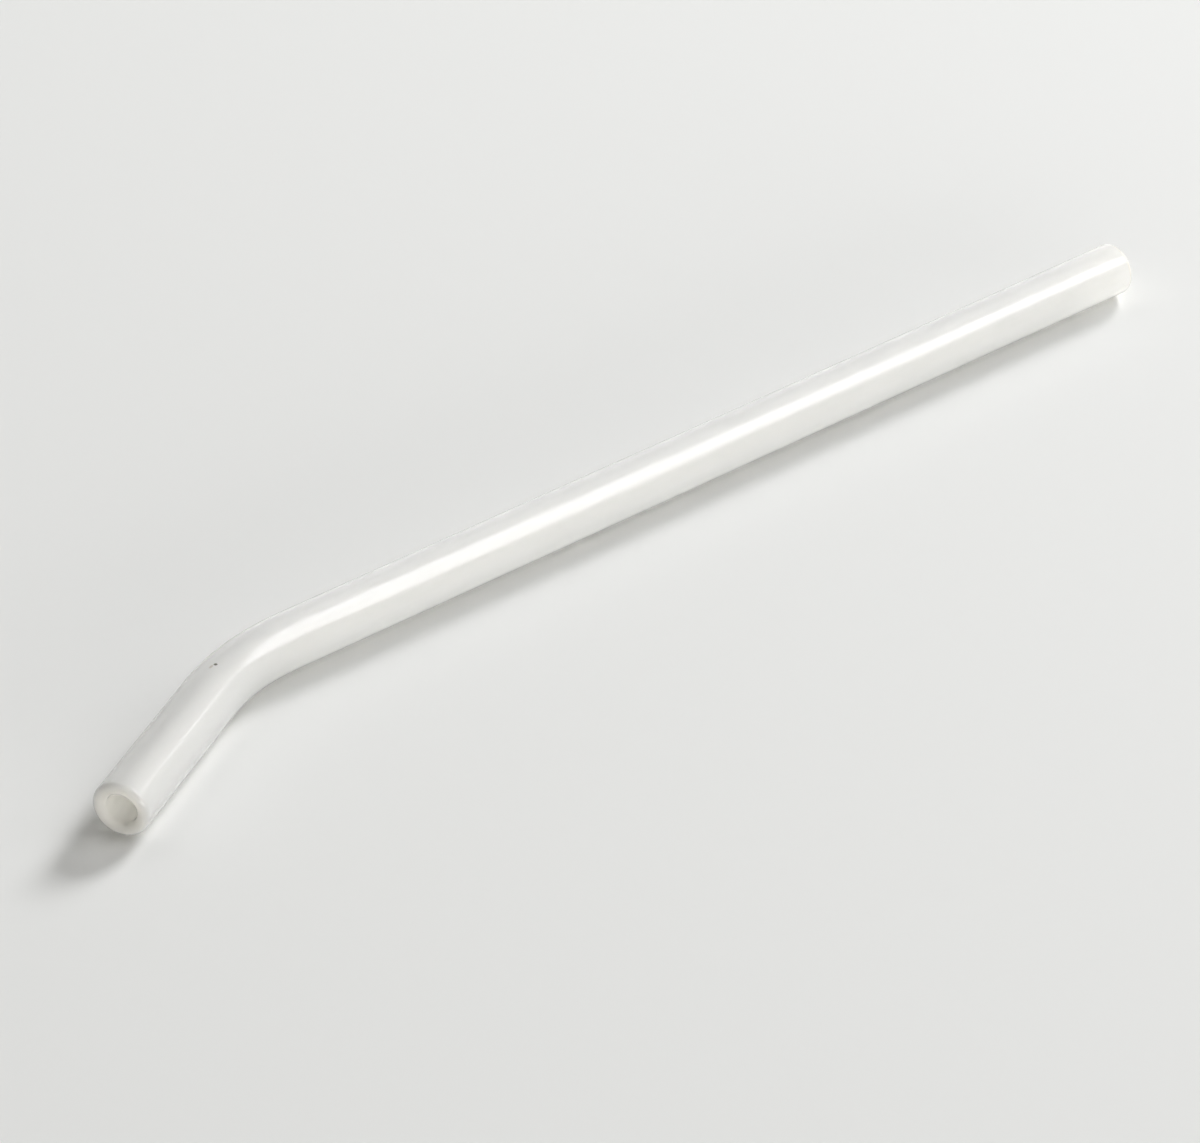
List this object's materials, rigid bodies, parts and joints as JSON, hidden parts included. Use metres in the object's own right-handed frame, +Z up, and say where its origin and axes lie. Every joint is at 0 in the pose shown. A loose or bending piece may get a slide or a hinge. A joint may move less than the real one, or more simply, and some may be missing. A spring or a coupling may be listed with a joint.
{
  "type": "drinking straw",
  "caption": "Bent reusable drinking straw: thick opal white glass tube with a gentle bend near the drinking mouth and flame-rounded ends, lying flat.",
  "frame": {"origin": "on the table, under the middle of the lying straw's outline", "axes": "+X along the long stem towards its open end, +Z up from the table; the drinking arm turns off towards -Y"},
  "size_m": [0.1976, 0.0242, 0.008],
  "materials": {
    "opal_glass": "gloss"
  },
  "bodies": {
    "root": {"straw_tube": "opal_glass"}
  },
  "joints": []
}
